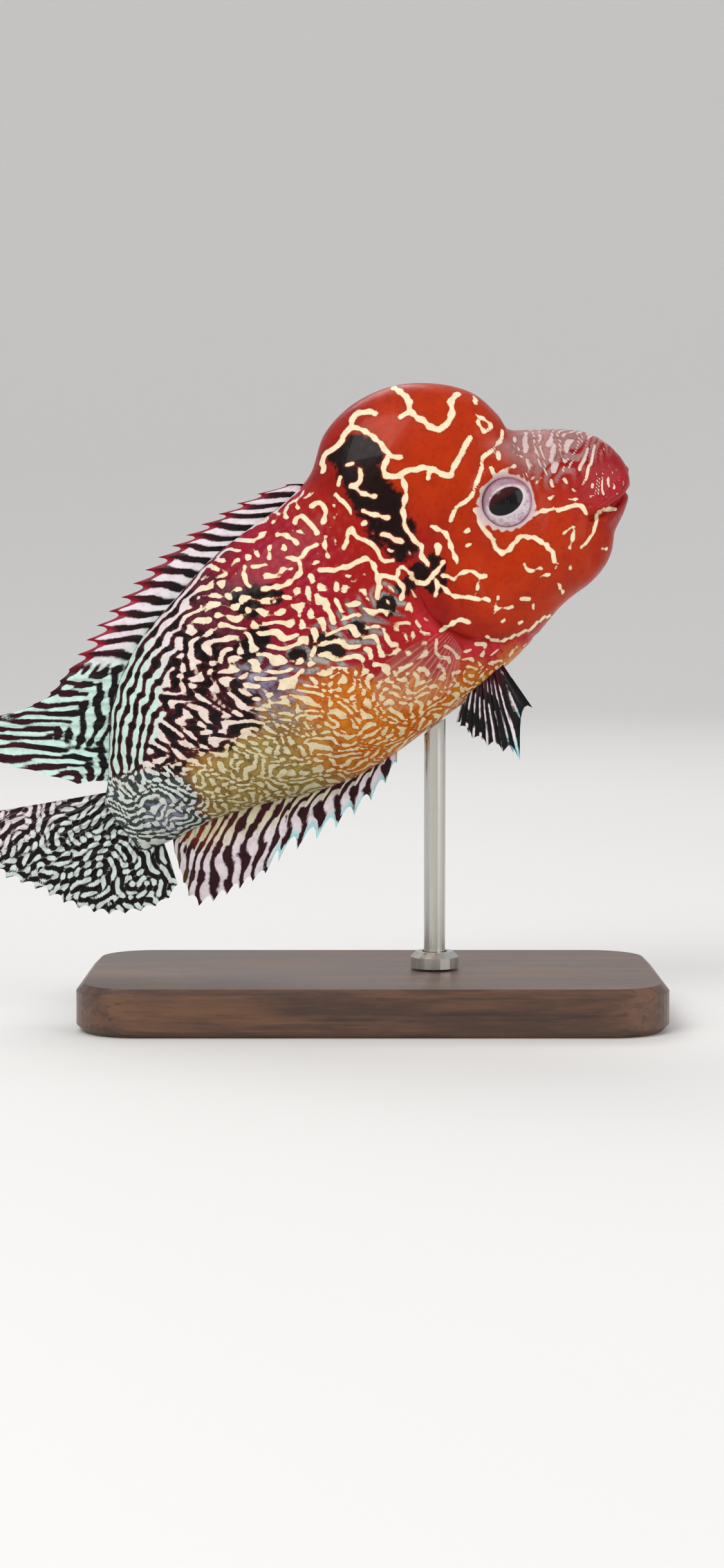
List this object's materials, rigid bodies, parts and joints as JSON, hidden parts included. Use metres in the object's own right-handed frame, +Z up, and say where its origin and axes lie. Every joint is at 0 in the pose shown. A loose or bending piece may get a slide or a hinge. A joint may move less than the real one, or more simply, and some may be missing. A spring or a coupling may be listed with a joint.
{
  "type": "flowerhorn cichlid display model",
  "caption": "Life-size flowerhorn cichlid with a nuchal hump, rayed fins and a nose-up pose, on a rod and flat wooden display base.",
  "frame": {"origin": "middle of the underside of the stand's base", "axes": "+X towards the fish's head, +Y to the fish's left, +Z up"},
  "size_m": [0.1075, 0.046, 0.0941],
  "materials": {
    "head_skin": "wet red skin with sparse cream lines",
    "flank_skin": "wet skin with a fine cream and black labyrinth over red and gold",
    "fin": "thin fin with pale green-white lines on maroon and black",
    "clear_fin": "clear fin with faint rays",
    "eye": "wet dark eye in a silver ring",
    "base_wood": "satin dark walnut",
    "rod": "brushed steel"
  },
  "bodies": {
    "root": {"head": "head_skin", "nuchal_hump": "head_skin", "lower_jaw": "head_skin", "trunk": "flank_skin", "tail": "flank_skin", "eye_left": "eye", "eye_right": "eye", "dorsal_fin": "fin", "anal_fin": "fin", "caudal_fin": "fin", "pelvic_fin_left": "fin", "pelvic_fin_right": "fin", "pectoral_fin_left": "clear_fin", "pectoral_fin_right": "clear_fin", "stand_rod": "rod", "stand_collar": "rod", "stand_base": "base_wood"}
  },
  "joints": []
}
